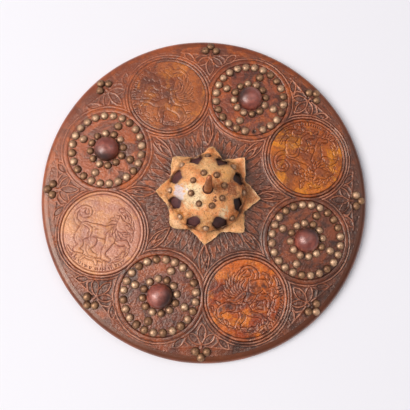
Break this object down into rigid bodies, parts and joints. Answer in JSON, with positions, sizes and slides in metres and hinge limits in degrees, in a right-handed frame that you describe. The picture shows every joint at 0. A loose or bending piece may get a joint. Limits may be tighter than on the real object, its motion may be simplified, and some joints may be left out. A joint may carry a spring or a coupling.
{
  "type": "round hide shield",
  "caption": "Round wooden shield under tooled leather, with studded rings, leather knobs, a pale star-shaped hide cap over the boss and a blunt central spike. It lies on its back.",
  "frame": {"origin": "middle of the shield on the surface it lies on, at its lowest plane", "axes": "+Z out of the face along the spike, +Y towards the top rim group, +X to the right seen from the front"},
  "size_m": [0.503, 0.503, 0.1709],
  "materials": {
    "board_wood": "dry, unvarnished planks",
    "tooled_leather": "carved and stamped, red-brown stain with dark antiquing, satin",
    "dark_leather": "smooth, dark plum brown, polished",
    "pale_hide": "pale tan, mottled and creased, satin",
    "bronze": "brown patina, worn smooth",
    "brass": "antiqued, dark in the hollows",
    "strap_leather": "plain, dark brown, matt"
  },
  "bodies": {
    "root": {"board": "board_wood", "face_leather": "tooled_leather", "boss_dome": "dark_leather", "boss_cap": "pale_hide", "spike": "bronze", "knob_1": "dark_leather", "knob_2": "dark_leather", "knob_3": "dark_leather", "knob_4": "dark_leather", "rim_tack_01": "brass", "rim_tack_02": "brass", "rim_tack_03": "brass", "rim_tack_04": "brass", "rim_tack_05": "brass", "rim_tack_06": "brass", "rim_tack_07": "brass", "rim_tack_08": "brass", "rim_tack_09": "brass", "rim_tack_10": "brass", "rim_tack_11": "brass", "rim_tack_12": "brass", "rim_tack_13": "brass", "rim_tack_14": "brass", "rim_tack_15": "brass", "rim_tack_16": "brass", "rim_tack_17": "brass", "rim_tack_18": "brass", "rim_tack_19": "brass", "rim_tack_20": "brass", "rim_tack_21": "brass", "rim_tack_22": "brass", "rim_tack_23": "brass", "rim_tack_24": "brass", "crown_tack_1": "brass", "crown_tack_2": "brass", "crown_tack_3": "brass", "crown_tack_4": "brass", "crown_tack_5": "brass", "crown_tack_6": "brass", "crown_tack_7": "brass", "crown_tack_8": "brass", "foot_tack_1": "brass", "foot_tack_2": "brass", "foot_tack_3": "brass", "foot_tack_4": "brass", "foot_tack_5": "brass", "foot_tack_6": "brass", "foot_tack_7": "brass", "foot_tack_8": "brass", "arm_strap": "strap_leather", "hand_grip": "strap_leather"}
  },
  "joints": []
}
